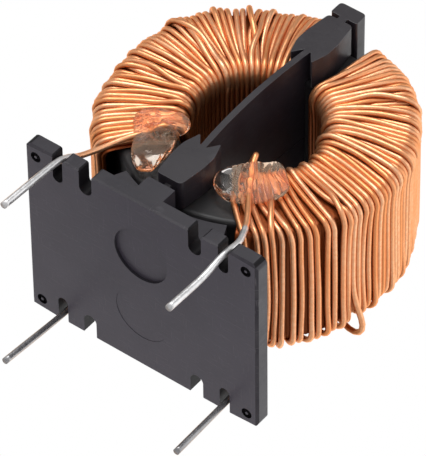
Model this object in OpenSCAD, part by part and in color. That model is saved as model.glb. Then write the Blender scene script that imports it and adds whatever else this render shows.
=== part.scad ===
// Common-mode choke, upright. A cased ring core carries two windings, each one continuous wire.
// A divider in two halves keeps them apart, and a slotted base plate holds the ring on edge.
// X runs along the plate, Y along the ring's axis with the front at -Y, and Z up from the board.
// The origin is the centre of the plate's seating face.

/* [Ring core] */
// Outer diameter of the core
core_outer_d = 38; // [34:0.5:42]
// Diameter of the core's hole
core_inner_d = 26; // [25:0.5:28]
// Width of the core along its axis
core_width = 19.2; // [16:0.2:24]

/* [Core case] */
// Wall of the case and of its lid
case_wall = 1.3; // [0.9:0.1:1.6]
// Clearance round the core inside the case
core_clearance = 0.3; // [0.1:0.05:0.4]
// Rounding of the case's outer edges
case_edge_r = 0.9; // [0.3:0.1:0.9]
// Depth of the lid's two rims inside the case, in the core's clearance
lid_rim_depth = 0.25; // [0.1:0.01:0.29]
// Thickness of the lid's rims
lid_rim_t = 0.8; // [0.4:0.1:1.2]
// Space between the lid's rims and the case's walls
lid_clearance = 0.05; // [0.02:0.01:0.1]

/* [Windings] */
// Diameter of the wire over its enamel
wire_d = 0.85; // [0.6:0.05:0.9]
// Turns in one layer; a winding has two layers, out and back
layer_turns = 27; // [12:1:28]
// Space between the case's outer wall and the outer run of each turn
winding_bulge = 2.6; // [0.5:0.1:3]
// Space between wires that lie on each other, and between wire and case
wire_gap = 0.05; // [0.02:0.01:0.1]
// Rounding of a turn at the ring's outer edges
outer_bend = 2.3; // [1:0.1:3]
// Rounding of a turn at the hole's edges
inner_bend = 0.75; // [0.6:0.05:0.8]
// Angle from the plate to the first turn of the left winding
near_gap_left = 38; // [32:0.5:45]
// Angle from the plate to the first turn of the right winding
near_gap_right = 28; // [27:0.5:45]
// Angle between the last turn and the ring's highest point
far_gap = 15.5; // [15:0.5:25]

/* [Leads] */
// Distance between the left and right leads
lead_pitch_x = 30; // [28:0.5:32]
// Nominal distance between the front and back leads
lead_pitch_y = 31; // [30:0.2:32]
// Diameter of a tinned lead
lead_d = 0.82; // [0.6:0.01:0.95]
// Length below the seating face: front left, front right, back left, back right
lead_lengths = [12.1, 12.5, 13.6, 11.5]; // [8:0.1:18]
// Outward shift of each lead at the seating face, in the same order
lead_root_shift = [1.1, 0.1, -0.2, -0.3]; // [-1.5:0.1:1.5]
// Outward shift of each lead at its tip, in the same order
lead_tip_shift = [1.6, -0.6, -1.5, 0.1]; // [-2:0.1:2]

/* [Base plate] */
// Length of the plate along X
plate_length = 42; // [40:0.5:50]
// Width of the plate along Y
plate_width = 33.4; // [33:0.2:40]
// Thickness of the plate
plate_thickness = 2.4; // [2:0.1:3.5]
// Rounding of the plate's four corners
plate_corner_r = 1.1; // [0.3:0.1:2]
// Bevel round the seating face
plate_bevel = 0.4; // [0.1:0.05:0.8]
// Space between the plate and the windings
ring_standoff = 0.9; // [0.5:0.1:4]

/* [Slots] */
// Width of the four lead slots
lead_slot_w = 1.8; // [1.2:0.1:2.4]
// Depth of the lead slots from the plate's edge
lead_slot_depth = 4.6; // [3:0.1:6]
// Width of the four spare slots
spare_slot_w = 2.3; // [1.2:0.1:2.6]
// Depth of the spare slots from the plate's edge
spare_slot_depth = 4.1; // [3:0.1:6]
// Distance from a lead slot's centre to the next spare slot's centre
slot_spacing = 5.1; // [4.6:0.1:6]
// Rounding of the tabs between the slots
tab_corner_r = 1; // [0.2:0.1:1.4]

/* [Seating face] */
// Diameter of the four corner dimples
dimple_d = 1.8; // [1.2:0.1:2.4]
// Depth of the corner dimples
dimple_depth = 0.5; // [0.2:0.1:1]
// Diameter of the stud in each dimple
stud_d = 0.9; // [0.4:0.1:1]
// Distance from a dimple's centre to the plate's end
dimple_inset_x = 2; // [1.6:0.1:2.2]
// Distance from a dimple's centre to the plate's long edge
dimple_inset_y = 2; // [1.6:0.1:4]
// Diameter of the two round mould marks
mark_d = 9.6; // [6:0.2:11]
// Distance between the two mould marks
mark_pitch = 12.2; // [11.5:0.2:14]
// Depth of the front mould mark
front_mark_depth = 0.5; // [0.1:0.05:0.8]
// Depth of the back mould mark
back_mark_depth = 0.12; // [0.05:0.01:0.8]

/* [Saddle and lugs] */
// Space between the saddle and the case
saddle_clearance = 0.4; // [0.2:0.05:0.6]
// Thickness of the saddle's curved shelf
saddle_shelf = 1.4; // [1:0.1:1.8]
// Thickness of the ribs that carry the shelf
saddle_rib = 1.5; // [1:0.1:3]
// Space between the saddle's ends and the windings
saddle_end_clearance = 0.35; // [0.2:0.05:1]
// Width of the lugs along X
lug_w = 4.8; // [3.5:0.1:6]
// Height of the lugs above the plate
lug_height = 2.8; // [2:0.1:3]
// Length of the lugs along Y
lug_length = 5; // [3:0.1:5]

/* [Divider] */
// Thickness of the wall in the hole
wall_t = 1; // [0.6:0.1:1.6]
// Sideways bow of the wall at its middle
wall_bow = 0.7; // [0.2:0.1:1]
// Height of the divider's heads above the case
head_height = 5.4; // [3:0.1:7]
// Width of the heads at their outer ends
head_end_w = 4.4; // [3:0.1:4.6]
// Width of the heads where they are widest
head_mid_w = 5.6; // [4.4:0.1:5.8]
// Width of the heads at their inner tips
head_tip_w = 3.8; // [2.4:0.1:4]
// Depth of the notch between tip and wall
notch_depth = 1.7; // [0.5:0.1:2.5]
// Width of the clip leg beyond the ring
leg_w = 4.7; // [3:0.1:6]
// Depth of the clip leg
leg_depth = 2.5; // [1.5:0.1:4]
// Rounding of the heads' and legs' corners
head_corner_r = 0.7; // [0.2:0.1:1]
// Width of the groove between head and leg
groove_w = 0.7; // [0.4:0.1:1.5]
// Clearance between the divider and the case
divider_clearance = 0.12; // [0.05:0.01:0.2]
// Clearance between the divider's halves, and of its tenons in the lugs
joint_clearance = 0.15; // [0.05:0.01:0.3]
// Length of the tenons inside the lugs
tenon_depth = 1.8; // [1:0.1:1.9]
// Width of the tenons along Y
tenon_w = 2.8; // [2:0.1:3]

/* [Adhesive] */
// Height of the glue above the wires
glue_height = 1.9; // [1:0.1:3]
// Radius of each drop of glue
glue_drop_r = 3.7; // [2.5:0.1:3.8]

/* [Hidden] */
$fn = 96;

left = -1;
right = 1;
front = -1;
back = 1;
wire_r = wire_d / 2;

// The case follows the core, and the turns follow the case.
case_r = core_outer_d / 2 + core_clearance + case_wall;
case_hole_r = core_inner_d / 2 - core_clearance - case_wall;
case_half = core_width / 2 + core_clearance + case_wall;
layer_step = wire_d + wire_gap;
inner_r = case_hole_r - wire_gap - wire_r;
face_h = case_half + wire_gap + wire_r;
outer_r = case_r + winding_bulge + wire_r;
winding_r = outer_r + wire_r;
winding_half = face_h + layer_step + wire_r;
axis_z = plate_thickness + ring_standoff + winding_r;

// Slots count from the plate's middle, and the leads sit in the outer ones.
lead_slot_x = lead_pitch_x / 2;
spare_slot_x = lead_slot_x - slot_spacing;

// The divider's heads reach from the hole's edge to the case's outer wall.
divider_top = case_half + head_height;
head_outer_r = case_r;
head_inner_r = inner_r - wire_r + 0.2;
head_bottom = case_half + divider_clearance;
leg_inner_r = head_outer_r + groove_w;
near_gap = min(near_gap_left, near_gap_right);

// A point on the ring: radius, angle from the plate, and height towards the front.
function ring_point(r, angle, height) = [r * sin(angle), -height, axis_z - r * cos(angle)];

function unit(v) = v / norm(v);

// ---- ring core and its case ----

module on_axis() {
  translate([0, 0, axis_z]) rotate([90, 0, 0]) children();
}

module ring_core() {
  color("dimgray") on_axis() rotate_extrude()
    translate([core_inner_d / 2, -core_width / 2])
      square([(core_outer_d - core_inner_d) / 2, core_width]);
}

// Cross-section of the closed case's outside, with its four rounded edges
module case_section() {
  translate([case_hole_r, -case_half + case_edge_r])
    square([case_r - case_hole_r, 2 * (case_half - case_edge_r)]);
  translate([case_hole_r + case_edge_r, -case_half])
    square([case_r - case_hole_r - 2 * case_edge_r, 2 * case_half]);
  for (r = [case_hole_r + case_edge_r, case_r - case_edge_r], y = [-1, 1])
    translate([r, y * (case_half - case_edge_r)]) circle(case_edge_r);
}

seam_y = case_wall - case_half;

module core_case() {
  color("#26262a") on_axis() rotate_extrude() difference() {
    case_section();
    translate([0, seam_y - 2 * case_half]) square([2 * case_r, 2 * case_half]);
    translate([case_hole_r + case_wall, seam_y - 1])
      square([case_r - case_hole_r - 2 * case_wall, 2 * case_half - 2 * case_wall + 1]);
  }
}

// The lid's rims run inside the case's walls, clear of the core.
module core_case_lid() {
  color("#2c2c30") on_axis() rotate_extrude() {
    intersection() {
      case_section();
      translate([0, -2 * case_half]) square([2 * case_r, seam_y - 0.02 + 2 * case_half]);
    }
    for (r = [case_hole_r + case_wall + lid_clearance, case_r - case_wall - lid_clearance - lid_rim_t])
      translate([r, seam_y - 0.5]) square([lid_rim_t, lid_rim_depth + 0.5]);
  }
}

// ---- windings ----

// One pass through the hole and out along the back face: inner angle, outer angle before, and
// layer (0 on the case, 1 on the first layer). Heights are positive towards the front.
function pass_points(inner, before, layer) =
  let (h = face_h + layer * layer_step, r = inner_r - layer * layer_step)
  [[ring_point(outer_r, before, h - outer_bend), before],
   [ring_point(outer_r - outer_bend, before, h), before],
   [ring_point(r + inner_bend, inner, h), inner],
   [ring_point(r, inner, h - inner_bend), inner],
   [ring_point(r, inner, -h + inner_bend), inner],
   [ring_point(r + inner_bend, inner, -h), inner]];

function return_points(after, layer) =
  let (h = face_h + layer * layer_step)
  [[ring_point(outer_r - outer_bend, after, -h), after],
   [ring_point(outer_r, after, -h + outer_bend), after]];

// The wire goes out in even steps on the first layer and comes back in odd steps on the second.
function layer_of(pass) = pass < layer_turns ? 0 : 1;
function inner_step(pass) = pass < layer_turns ? 2 * pass : 4 * layer_turns - 3 - 2 * pass;
function outer_step(pass) = pass < layer_turns - 1 ? 2 * pass + 1 : 4 * layer_turns - 4 - 2 * pass;

// Route of a whole winding, from its front lead to its back lead
function winding_route(side, gap) =
  let (last = 2 * layer_turns - 1,
       step = (180 - far_gap - gap) / last,
       angle = function (count) side * (gap + (count + 1) * step))
  concat(
    front_tail(side, angle(-1.5)),
    [for (pass = [0 : last]) each concat(
      [for (i = [pass == 0 ? 2 : 0 : 5])
        pass_points(angle(inner_step(pass)), angle(outer_step(pass - 1)), layer_of(pass))[i]],
      pass == last ? [] : return_points(angle(outer_step(pass)), layer_of(pass)))],
    back_tail(side, angle(-1.5)));

// Where a lead crosses the seating face, and where it ends
function lead_index(side, face) = (side > 0 ? 1 : 0) + (face > 0 ? 2 : 0);
function lead_root(side, face) =
  [side * lead_slot_x, face * (lead_pitch_y / 2 + lead_root_shift[lead_index(side, face)]), 0];
function lead_tip(side, face) =
  [side * lead_slot_x, face * (lead_pitch_y / 2 + lead_tip_shift[lead_index(side, face)]),
   -lead_lengths[lead_index(side, face)]];
function lead_axis(side, face) = unit(lead_tip(side, face) - lead_root(side, face));

// The wire leaves its face beside the first turn, bends down outside the ring and through its slot,
// and runs into the tinned lead, which starts just below the seating face.
lead_start = 0.3;
lead_overlap = 1;
function tail(side, face, angle, height) =
  let (root = lead_root(side, face), down = lead_axis(side, face), out = -face)
  [[ring_point(outer_r - outer_bend - 1.5, angle, out * height), angle],
   [ring_point(outer_r - 0.5, angle, out * (height + 1.2)), angle],
   [[root[0], face * (winding_half + 1.4), plate_thickness + 2.2], angle],
   [root - down * (plate_thickness - 0.6), angle],
   [root + down * (lead_start + lead_overlap), angle]];

function reversed(list) = [for (i = [len(list) - 1 : -1 : 0]) list[i]];
function front_tail(side, angle) = reversed(tail(side, front, angle, face_h));
function back_tail(side, angle) = tail(side, back, angle, face_h + layer_step);

// Sweeps the wire along the route. Each ring of points lies square to the mean of the runs on
// both sides of it, and is turned by the ring's own tangent, so the tube never twists.
wire_sides = 8;
function wire_ring(route, i) =
  let (last = len(route) - 1,
       here = route[i][0],
       along = unit(unit(route[min(i + 1, last)][0] - here + (i == last ? here - route[i - 1][0] : [0, 0, 0]))
             + unit(here - route[max(i - 1, 0)][0] + (i == 0 ? route[1][0] - here : [0, 0, 0]))),
       around = [cos(route[i][1]), 0, sin(route[i][1])],
       u = unit(cross(along, around)),
       v = cross(along, u))
  [for (s = [0 : wire_sides - 1])
    here + wire_r * (cos(s * 360 / wire_sides) * u + sin(s * 360 / wire_sides) * v)];

module wire(route) {
  n = wire_sides;
  last = len(route) - 1;
  points = [for (i = [0 : last]) each wire_ring(route, i)];
  sides = [for (i = [0 : last - 1], s = [0 : n - 1])
    let (a = i * n + s, b = i * n + (s + 1) % n) each [[a, b + n, b], [a, a + n, b + n]]];
  ends = [[for (s = [0 : n - 1]) s], [for (s = [n - 1 : -1 : 0]) last * n + s]];
  polyhedron(points, concat(sides, ends), convexity = 10);
}

// Cylinder between two points
module rod(from, to, d) {
  along = to - from;
  translate(from) rotate([0, acos(along[2] / norm(along)), atan2(along[1], along[0])])
    cylinder(h = norm(along), d = d);
}

module winding(side, gap) {
  wire(winding_route(side, gap));
  for (face = [front, back])
    rod(lead_root(side, face) + lead_start * lead_axis(side, face), lead_tip(side, face), lead_d);
}

module winding_left() {
  color("#d98a52") winding(left, near_gap_left);
}

module winding_right() {
  color("#d98a52") winding(right, near_gap_right);
}

// ---- base plate ----

module rounded_rect(size, r) {
  union() {
    square([size[0] - 2 * r, size[1]], center = true);
    square([size[0], size[1] - 2 * r], center = true);
    for (x = [-1, 1], y = [-1, 1])
      translate([x * (size[0] / 2 - r), y * (size[1] / 2 - r)]) circle(r);
  }
}

// A slot open at the plate's front edge, with a round end and rounded mouth corners
module edge_slot(w, depth) {
  translate([0, depth - w / 2]) circle(d = w);
  translate([-w / 2, -1]) square([w, depth - w / 2 + 1]);
  for (x = [-1, 1])
    translate([x * w / 2, 0]) difference() {
      square(2 * tab_corner_r, center = true);
      translate([x * tab_corner_r, tab_corner_r]) circle(tab_corner_r);
    }
}

module plate_outline() {
  difference() {
    rounded_rect([plate_length, plate_width], plate_corner_r);
    for (x = [-1, 1], y = [0, 1]) mirror([0, y]) {
      translate([x * lead_slot_x, -plate_width / 2]) edge_slot(lead_slot_w, lead_slot_depth);
      translate([x * spare_slot_x, -plate_width / 2]) edge_slot(spare_slot_w, spare_slot_depth);
    }
  }
}

// Triangular strip that bevels one edge of the seating face
module bevel_strip(length) {
  rotate([90, 0, 90]) translate([0, 0, -length / 2]) linear_extrude(length)
    polygon([[-plate_bevel, -1], [-plate_bevel, 0], [0, plate_bevel], [1, plate_bevel], [1, -1]]);
}

module plate_bevels() {
  for (y = [0, 1]) mirror([0, y]) translate([0, plate_width / 2]) bevel_strip(2 * plate_length);
  for (x = [0, 1]) mirror([x, 0]) translate([plate_length / 2, 0]) rotate(-90) bevel_strip(2 * plate_width);
}

module dimple() {
  difference() {
    translate([0, 0, -1]) cylinder(h = dimple_depth + 1, d = dimple_d);
    cylinder(h = dimple_depth + 1, d = stud_d);
  }
}

saddle_angle = near_gap - asin((wire_r + saddle_end_clearance) / case_r);

// Sector of the near gap, seen along the ring's axis
module gap_sector(r, half_angle) {
  polygon([[0, 0], [-r * sin(half_angle), -r * cos(half_angle)], [0, -r / cos(half_angle)],
           [r * sin(half_angle), -r * cos(half_angle)]]);
}

// Profile between the plate and a circle round the ring's axis
module saddle_profile(r) {
  difference() {
    intersection() {
      gap_sector(2 * axis_z, saddle_angle);
      translate([-plate_length / 2, plate_thickness / 2 - axis_z]) square([plate_length, axis_z]);
    }
    circle(r, $fn = 192);
  }
}

module saddle() {
  bed_r = case_r + saddle_clearance;
  on_axis() {
    translate([0, 0, -case_half]) linear_extrude(2 * case_half) intersection() {
      saddle_profile(bed_r);
      circle(bed_r + saddle_shelf, $fn = 192);
    }
    for (y = [-case_half, -saddle_rib / 2, case_half - saddle_rib])
      translate([0, 0, y]) linear_extrude(saddle_rib) saddle_profile(bed_r);
  }
}

module lug() {
  translate([-lug_w / 2, -plate_width / 2, plate_thickness / 2])
    cube([lug_w, lug_length, lug_height + plate_thickness / 2]);
}

tenon_y = divider_top - head_height / 2;

// Pocket in a lug for the divider's tenon
module mortise() {
  c = joint_clearance;
  translate([-wall_t / 2 - c, -tenon_y - tenon_w / 2 - c, plate_thickness + lug_height - tenon_depth - c])
    cube([wall_t + 2 * c, tenon_w + 2 * c, tenon_depth + 2]);
}

module base_plate() {
  color("#3a393e") difference() {
    union() {
      linear_extrude(plate_thickness) plate_outline();
      saddle();
      for (y = [0, 1]) mirror([0, y]) lug();
    }
    plate_bevels();
    for (x = [-1, 1], y = [-1, 1])
      translate([x * (plate_length / 2 - dimple_inset_x), y * (plate_width / 2 - dimple_inset_y), 0]) dimple();
    translate([0, -mark_pitch / 2, -1]) cylinder(h = front_mark_depth + 1, d = mark_d);
    translate([0, mark_pitch / 2, -1]) cylinder(h = back_mark_depth + 1, d = mark_d);
    for (y = [0, 1]) mirror([0, y]) mortise();
  }
}

// ---- divider ----

// Bowed centre line of the wall: a flat arc between the two heads
bow_span = head_inner_r + notch_depth;
function bow(z) = -wall_bow * (1 - pow(z / bow_span, 2));

module wall_outline() {
  steps = 16;
  line = [for (i = [-steps : steps]) let (z = i * bow_span / steps) [bow(z), z]];
  polygon(concat([for (p = line) p - [wall_t / 2, 0]], [for (p = reversed(line)) p + [wall_t / 2, 0]]));
}

// Outline with its corners rounded; each point is given as x, y and how far the rounding reaches
module soft_polygon(points) {
  n = len(points);
  polygon([for (i = [0 : n - 1])
    let (p = [points[i][0], points[i][1]], r = points[i][2],
         a = points[(i + n - 1) % n], b = points[(i + 1) % n],
         from = [a[0], a[1]] - p, to = [b[0], b[1]] - p)
      for (t = r > 0 ? [0 : 0.25 : 1] : [0])
        p + r * (pow(1 - t, 2) * from / norm(from) + pow(t, 2) * to / norm(to))]);
}

// Head seen along the ring's axis, pointing away from the hole: widest in the middle, with a
// notch on each side of the wall
module head_outline() {
  mid_r = (head_outer_r + 2 * head_inner_r) / 3 + 2;
  r = head_corner_r;
  half = [[head_end_w / 2, head_outer_r, r], [head_mid_w / 2, mid_r, r], [head_mid_w / 2, mid_r - 2.5, r],
          [head_tip_w / 2, head_inner_r, r / 2], [wall_t / 2 + 0.1, bow_span, 0]];
  soft_polygon(concat(half, [for (p = reversed(half)) [-p[0], p[1], p[2]]]));
}

// Leg beyond the ring: its rib bears on the case, and its cap stands past the groove
module leg_outline() {
  rib_r = case_r + divider_clearance;
  w = leg_w / 2;
  end_r = leg_inner_r + leg_depth;
  soft_polygon([[-w, leg_inner_r, 0.3], [w, leg_inner_r, 0.3], [w, end_r, head_corner_r], [-w, end_r, head_corner_r]]);
  translate([-wall_t * 0.7, rib_r]) square([wall_t * 1.4, leg_inner_r - rib_r + 0.1]);
}

// One half of the divider, from the ring's middle to the front
module separator_half() {
  bottom = joint_clearance / 2;
  on_axis() {
    translate([0, 0, bottom]) linear_extrude(divider_top - bottom) intersection() {
      wall_outline();
      circle(case_hole_r - divider_clearance);
    }
    translate([0, 0, head_bottom]) linear_extrude(divider_top - head_bottom) {
      wall_outline();
      head_outline();
      mirror([0, 1]) head_outline();
      translate([-wall_t * 0.7, head_outer_r - 0.1]) square([wall_t * 1.4, leg_inner_r - head_outer_r + 0.2]);
    }
    translate([0, 0, bottom]) linear_extrude(divider_top - bottom) leg_outline();
  }
  tenon_bottom = plate_thickness + lug_height - tenon_depth;
  translate([-wall_t / 2, -tenon_y - tenon_w / 2, tenon_bottom])
    cube([wall_t, tenon_w, axis_z - head_outer_r + 0.1 - tenon_bottom]);
}

module separator_front() {
  color("#2e2e32") separator_half();
}

module separator_back() {
  color("#2e2e32") mirror([0, 1, 0]) separator_half();
}

// ---- adhesive ----

// A drop of glue: a flat-bottomed dome on the wires
module glue_drop(r, angle, drop_r) {
  dome_r = (drop_r * drop_r + glue_height * glue_height) / (2 * glue_height);
  translate(ring_point(r, angle, winding_half + wire_gap)) rotate([90, 0, 0]) intersection() {
    translate([0, 0, glue_height - dome_r]) sphere(dome_r);
    cylinder(h = 2 * glue_height, r = 2 * drop_r);
  }
}

// A foot of glue that runs down to the case in the gap beside the first turn
module glue_foot(r, angle, foot_r) {
  translate(ring_point(r, angle, case_half + wire_gap)) rotate([90, 0, 0])
    cylinder(h = winding_half - case_half + 0.5, r = foot_r);
}

module adhesive_left() {
  color("#f0d8c8", 0.6) {
    for (drop = [[17.3, 24, 0.85], [16, 34, 1], [14.2, 46, 1], [12.8, 56, 0.8]])
      glue_drop(drop[0], left * drop[1], drop[2] * glue_drop_r);
    glue_foot(17, left * 23.5, 2.4);
  }
}

module adhesive_right() {
  color("#f0d8c8", 0.6) {
    for (drop = [[14.8, 23.5, 0.75], [14.4, 32, 0.9], [14.6, 43, 0.9], [14.4, 53, 0.75]])
      glue_drop(drop[0], right * drop[1], drop[2] * glue_drop_r);
    glue_foot(14.8, right * 18.5, 1.3);
  }
}

base_plate();
ring_core();
core_case();
core_case_lid();
winding_left();
winding_right();
separator_front();
separator_back();
adhesive_left();
adhesive_right();
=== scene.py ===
import math
import bmesh
import bpy
import numpy as np
from mathutils import Matrix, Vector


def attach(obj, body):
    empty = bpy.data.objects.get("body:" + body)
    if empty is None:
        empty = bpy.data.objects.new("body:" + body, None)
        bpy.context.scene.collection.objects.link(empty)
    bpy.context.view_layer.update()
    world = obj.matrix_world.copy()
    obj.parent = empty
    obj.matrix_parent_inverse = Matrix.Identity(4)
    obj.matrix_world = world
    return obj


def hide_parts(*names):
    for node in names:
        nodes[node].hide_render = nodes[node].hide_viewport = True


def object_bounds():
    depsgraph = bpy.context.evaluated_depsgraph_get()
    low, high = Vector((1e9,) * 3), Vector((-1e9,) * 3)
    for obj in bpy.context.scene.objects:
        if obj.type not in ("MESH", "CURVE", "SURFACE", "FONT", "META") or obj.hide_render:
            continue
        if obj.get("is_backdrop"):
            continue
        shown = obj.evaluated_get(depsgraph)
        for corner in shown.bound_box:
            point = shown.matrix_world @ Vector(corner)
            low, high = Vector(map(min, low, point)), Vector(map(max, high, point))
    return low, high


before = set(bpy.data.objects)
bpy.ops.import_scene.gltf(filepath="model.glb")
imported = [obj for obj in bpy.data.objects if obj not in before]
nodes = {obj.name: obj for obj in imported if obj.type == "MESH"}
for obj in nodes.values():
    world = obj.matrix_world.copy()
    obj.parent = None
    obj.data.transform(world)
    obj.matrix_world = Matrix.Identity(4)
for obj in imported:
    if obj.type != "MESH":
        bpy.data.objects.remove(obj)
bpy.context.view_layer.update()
mm = 0.001
scene = bpy.context.scene


cameraSetup = {
    "place": (0.32724, -0.53482, -0.39898),  # metres, in the part's frame
    "right": (0.791666, 0.009375, 0.610883),  # the view's right, up and back directions
    "up": (-0.429791, -0.702090, 0.567757),
    "back": (0.434217, -0.712026, -0.551792),
    "lens": 406.74,
    "sensor": 36.0,
    "clip": (0.01, 10.0),
}


def newObject(name, data):
    # an object at the origin, in the scene
    thing = bpy.data.objects.new(name, data)
    scene.collection.objects.link(thing)
    return thing


def placeAt(thing, right, up, back, place):
    # turns a camera or a lamp by three directions, each divided by its length, and moves it
    axes = np.array([right, up, back]).T
    matrix = np.eye(4)
    matrix[:3, :3] = axes / np.linalg.norm(axes, axis=0)
    matrix[:3, 3] = place
    thing.matrix_world = Matrix(matrix.tolist())


def makeCamera(setup):
    # the view's camera
    data = bpy.data.cameras.new("viewCamera")
    data.lens = setup["lens"]
    data.sensor_width = setup["sensor"]
    data.clip_start, data.clip_end = setup["clip"]
    camera = newObject("viewCamera", data)
    placeAt(camera, setup["right"], setup["up"], setup["back"], setup["place"])
    scene.camera = camera


makeCamera(cameraSetup)
print("camera placed")


def smoothStep(x):
    # 3x^2 - 2x^3, from 0 at 0 to 1 at 1
    x = np.clip(x, 0.0, 1.0)
    return x * x * (3 - 2 * x)


def stepBelow(x, limit, grows):
    # smooth step of how far x is below the limit
    return smoothStep((limit - x) / grows)


def unit(vectors):
    # each vector divided by its length
    return vectors / np.linalg.norm(vectors, axis=-1, keepdims=True)


def ringFaces(rows, columns):
    # squares between rows of vertices that each close up into a ring
    i, j = np.arange(rows - 1)[:, None] * columns, np.arange(columns)[None, :]
    n = (j + 1) % columns
    return np.stack([i + j, i + n, i + n + columns, i + j + columns], -1).reshape(-1, 4)


def blur(values, reach):
    # running mean with a bell-shaped weight, reach samples to each side
    weight = np.exp(-0.5 * (np.arange(-reach, reach + 1) / (reach / 2.0)) ** 2)
    padded = np.pad(values, reach, mode="edge")
    return np.convolve(padded, weight / weight.sum(), mode="valid")


def smoothNoise(rng, count, reach):
    # random numbers smoothed along the line, about 1 in size
    values = blur(rng.standard_normal(count + 2 * reach), reach)[reach:-reach]
    return values / values.std()


fieldShape = {
    "rows": 110,   # random grids over the angle: their rows, the degrees between two rows,
    "degrees": 2,  # and the rows before zero
    "before": 10,
}


def smoothField(rng, columns, reachRows, reachColumns):
    # random grid smoothed by a bell along both directions, about 1 in size; the columns close up
    # into a ring
    rows = fieldShape["rows"]
    row, column = np.arange(rows), np.arange(columns)
    aside = np.abs(column[:, None] - column)
    aside = np.minimum(aside, columns - aside)
    values = np.exp(-0.5 * ((row[:, None] - row) / reachRows) ** 2) @ rng.standard_normal((rows, columns)) \
        @ np.exp(-0.5 * (aside / reachColumns) ** 2)
    return values / values.std()


def fieldAt(field, angle):
    # the grid's value at each wire's angle, in a straight line from row to row
    place = np.clip(angle / fieldShape["degrees"] + fieldShape["before"], 0, len(field) - 1.001)
    row = place.astype(int)
    column = np.arange(field.shape[1])[None, :]
    return field[row, column] * (1 - place + row) + field[row + 1, column] * (place - row)


def newPiece(name, vertices, faces, material, replaced, attributes):
    # a smooth mesh with its attributes, as a piece in place of CAD nodes
    mesh = bpy.data.meshes.new(name)
    mesh.from_pydata(vertices.tolist(), [], faces)
    mesh.polygons.foreach_set("use_smooth", np.full(len(mesh.polygons), True))
    for key, values in attributes.items():
        attribute = mesh.attributes.new(key, "FLOAT", "POINT")
        attribute.data.foreach_set("value", values.astype(np.float32))
    mesh.update()
    piece = newObject(name, mesh)
    mesh.materials.append(material)
    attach(piece, "root")
    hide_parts(*replaced)
    return piece


def fill(tree, node, inputs):
    # each input, by name or number, gets a plain value or a link from another node's output
    for key, value in inputs.items():
        if isinstance(value, bpy.types.NodeSocket):
            tree.links.new(value, node.inputs[key])
        else:
            node.inputs[key].default_value = value


def addNode(tree, kind, output, inputs):
    # a new node with its inputs; returns the output of that name
    node = tree.nodes.new(kind)
    fill(tree, node, inputs)
    return node.outputs[output]


def newTree(owner, outputKind):
    # the owner's emptied nodes, and its new output node
    owner.use_nodes = True
    tree = owner.node_tree
    tree.nodes.clear()
    return tree, tree.nodes.new(outputKind)


def newMaterial(name):
    # a material, its nodes and its shader
    material = bpy.data.materials.new(name)
    tree, output = newTree(material, "ShaderNodeOutputMaterial")
    shader = tree.nodes.new("ShaderNodeBsdfPrincipled")
    fill(tree, output, {"Surface": shader.outputs["BSDF"]})
    return material, tree, shader


def objectNoise(tree, scale, detail):
    # noise that stays in place on the piece
    place = addNode(tree, "ShaderNodeTexCoord", "Object", {})
    return addNode(tree, "ShaderNodeTexNoise", "Fac", {"Vector": place, "Scale": scale, "Detail": detail})


def mixColor(tree, factor, low, high, kind="MIX"):
    # a mix of two colours, each a plain colour or an output
    mix = tree.nodes.new("ShaderNodeMix")
    mix.data_type = "RGBA"
    mix.blend_type = kind
    low, high = ((*value, 1.0) if isinstance(value, tuple) else value for value in (low, high))
    fill(tree, mix, {"Factor": factor, "A": low, "B": high})
    return mix.outputs["Result"]


def combine(tree, a, b, kind):
    # a sum, product or maximum of two values
    node = tree.nodes.new("ShaderNodeMath")
    node.operation = kind
    fill(tree, node, {0: a, 1: b})
    return node.outputs["Value"]


def ramped(tree, value, low, high, toLow=0.0, toHigh=1.0):
    # smooth step of a value between two limits
    ramp = tree.nodes.new("ShaderNodeMapRange")
    ramp.interpolation_type = "SMOOTHSTEP"
    fill(tree, ramp, {"Value": value, "From Min": low, "From Max": high, "To Min": toLow, "To Max": toHigh})
    return ramp.outputs["Result"]


def attributeValue(tree, name):
    # a value that the mesh carries
    node = tree.nodes.new("ShaderNodeAttribute")
    node.attribute_name = name
    return node.outputs["Fac"]


def bumpFrom(tree, height, distance, strength):
    # normals tilted by the height's slope times the distance
    return addNode(tree, "ShaderNodeBump", "Normal", {"Height": height, "Distance": distance, "Strength": strength})


copperLook = {
    "light": (0.95, 0.51, 0.29),
    "dark": (0.84, 0.33, 0.13),
    "edge": (1.0, 0.62, 0.36),  # reflected at grazing angles
    "metallic": 0.86,
    "roughness": (0.3, 0.4),
    "coat": 0.12,
    "coatRoughness": 0.15,
    "speck": (1500.0, 3.0),      # scale and detail, the limits of the noise, and how much shows
    "speckLimits": (0.35, 0.65),
    "speckShare": 0.35,
    "bump": (0.00001, 0.5),      # metres and strength
    "tin": (0.84, 0.84, 0.85),
    "tinDull": (0.3, 0.3, 0.31),
    "tinSpeck": (900.0, 4.0),
    "tinLimits": (0.4, 0.7),
    "tinShare": 0.3,
    "hole": (0.3, 0.2, 0.16),    # painted shade in the hole
    "gap": (0.45, 0.31, 0.22),   # painted shade on the sides that face the next wire
}


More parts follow.
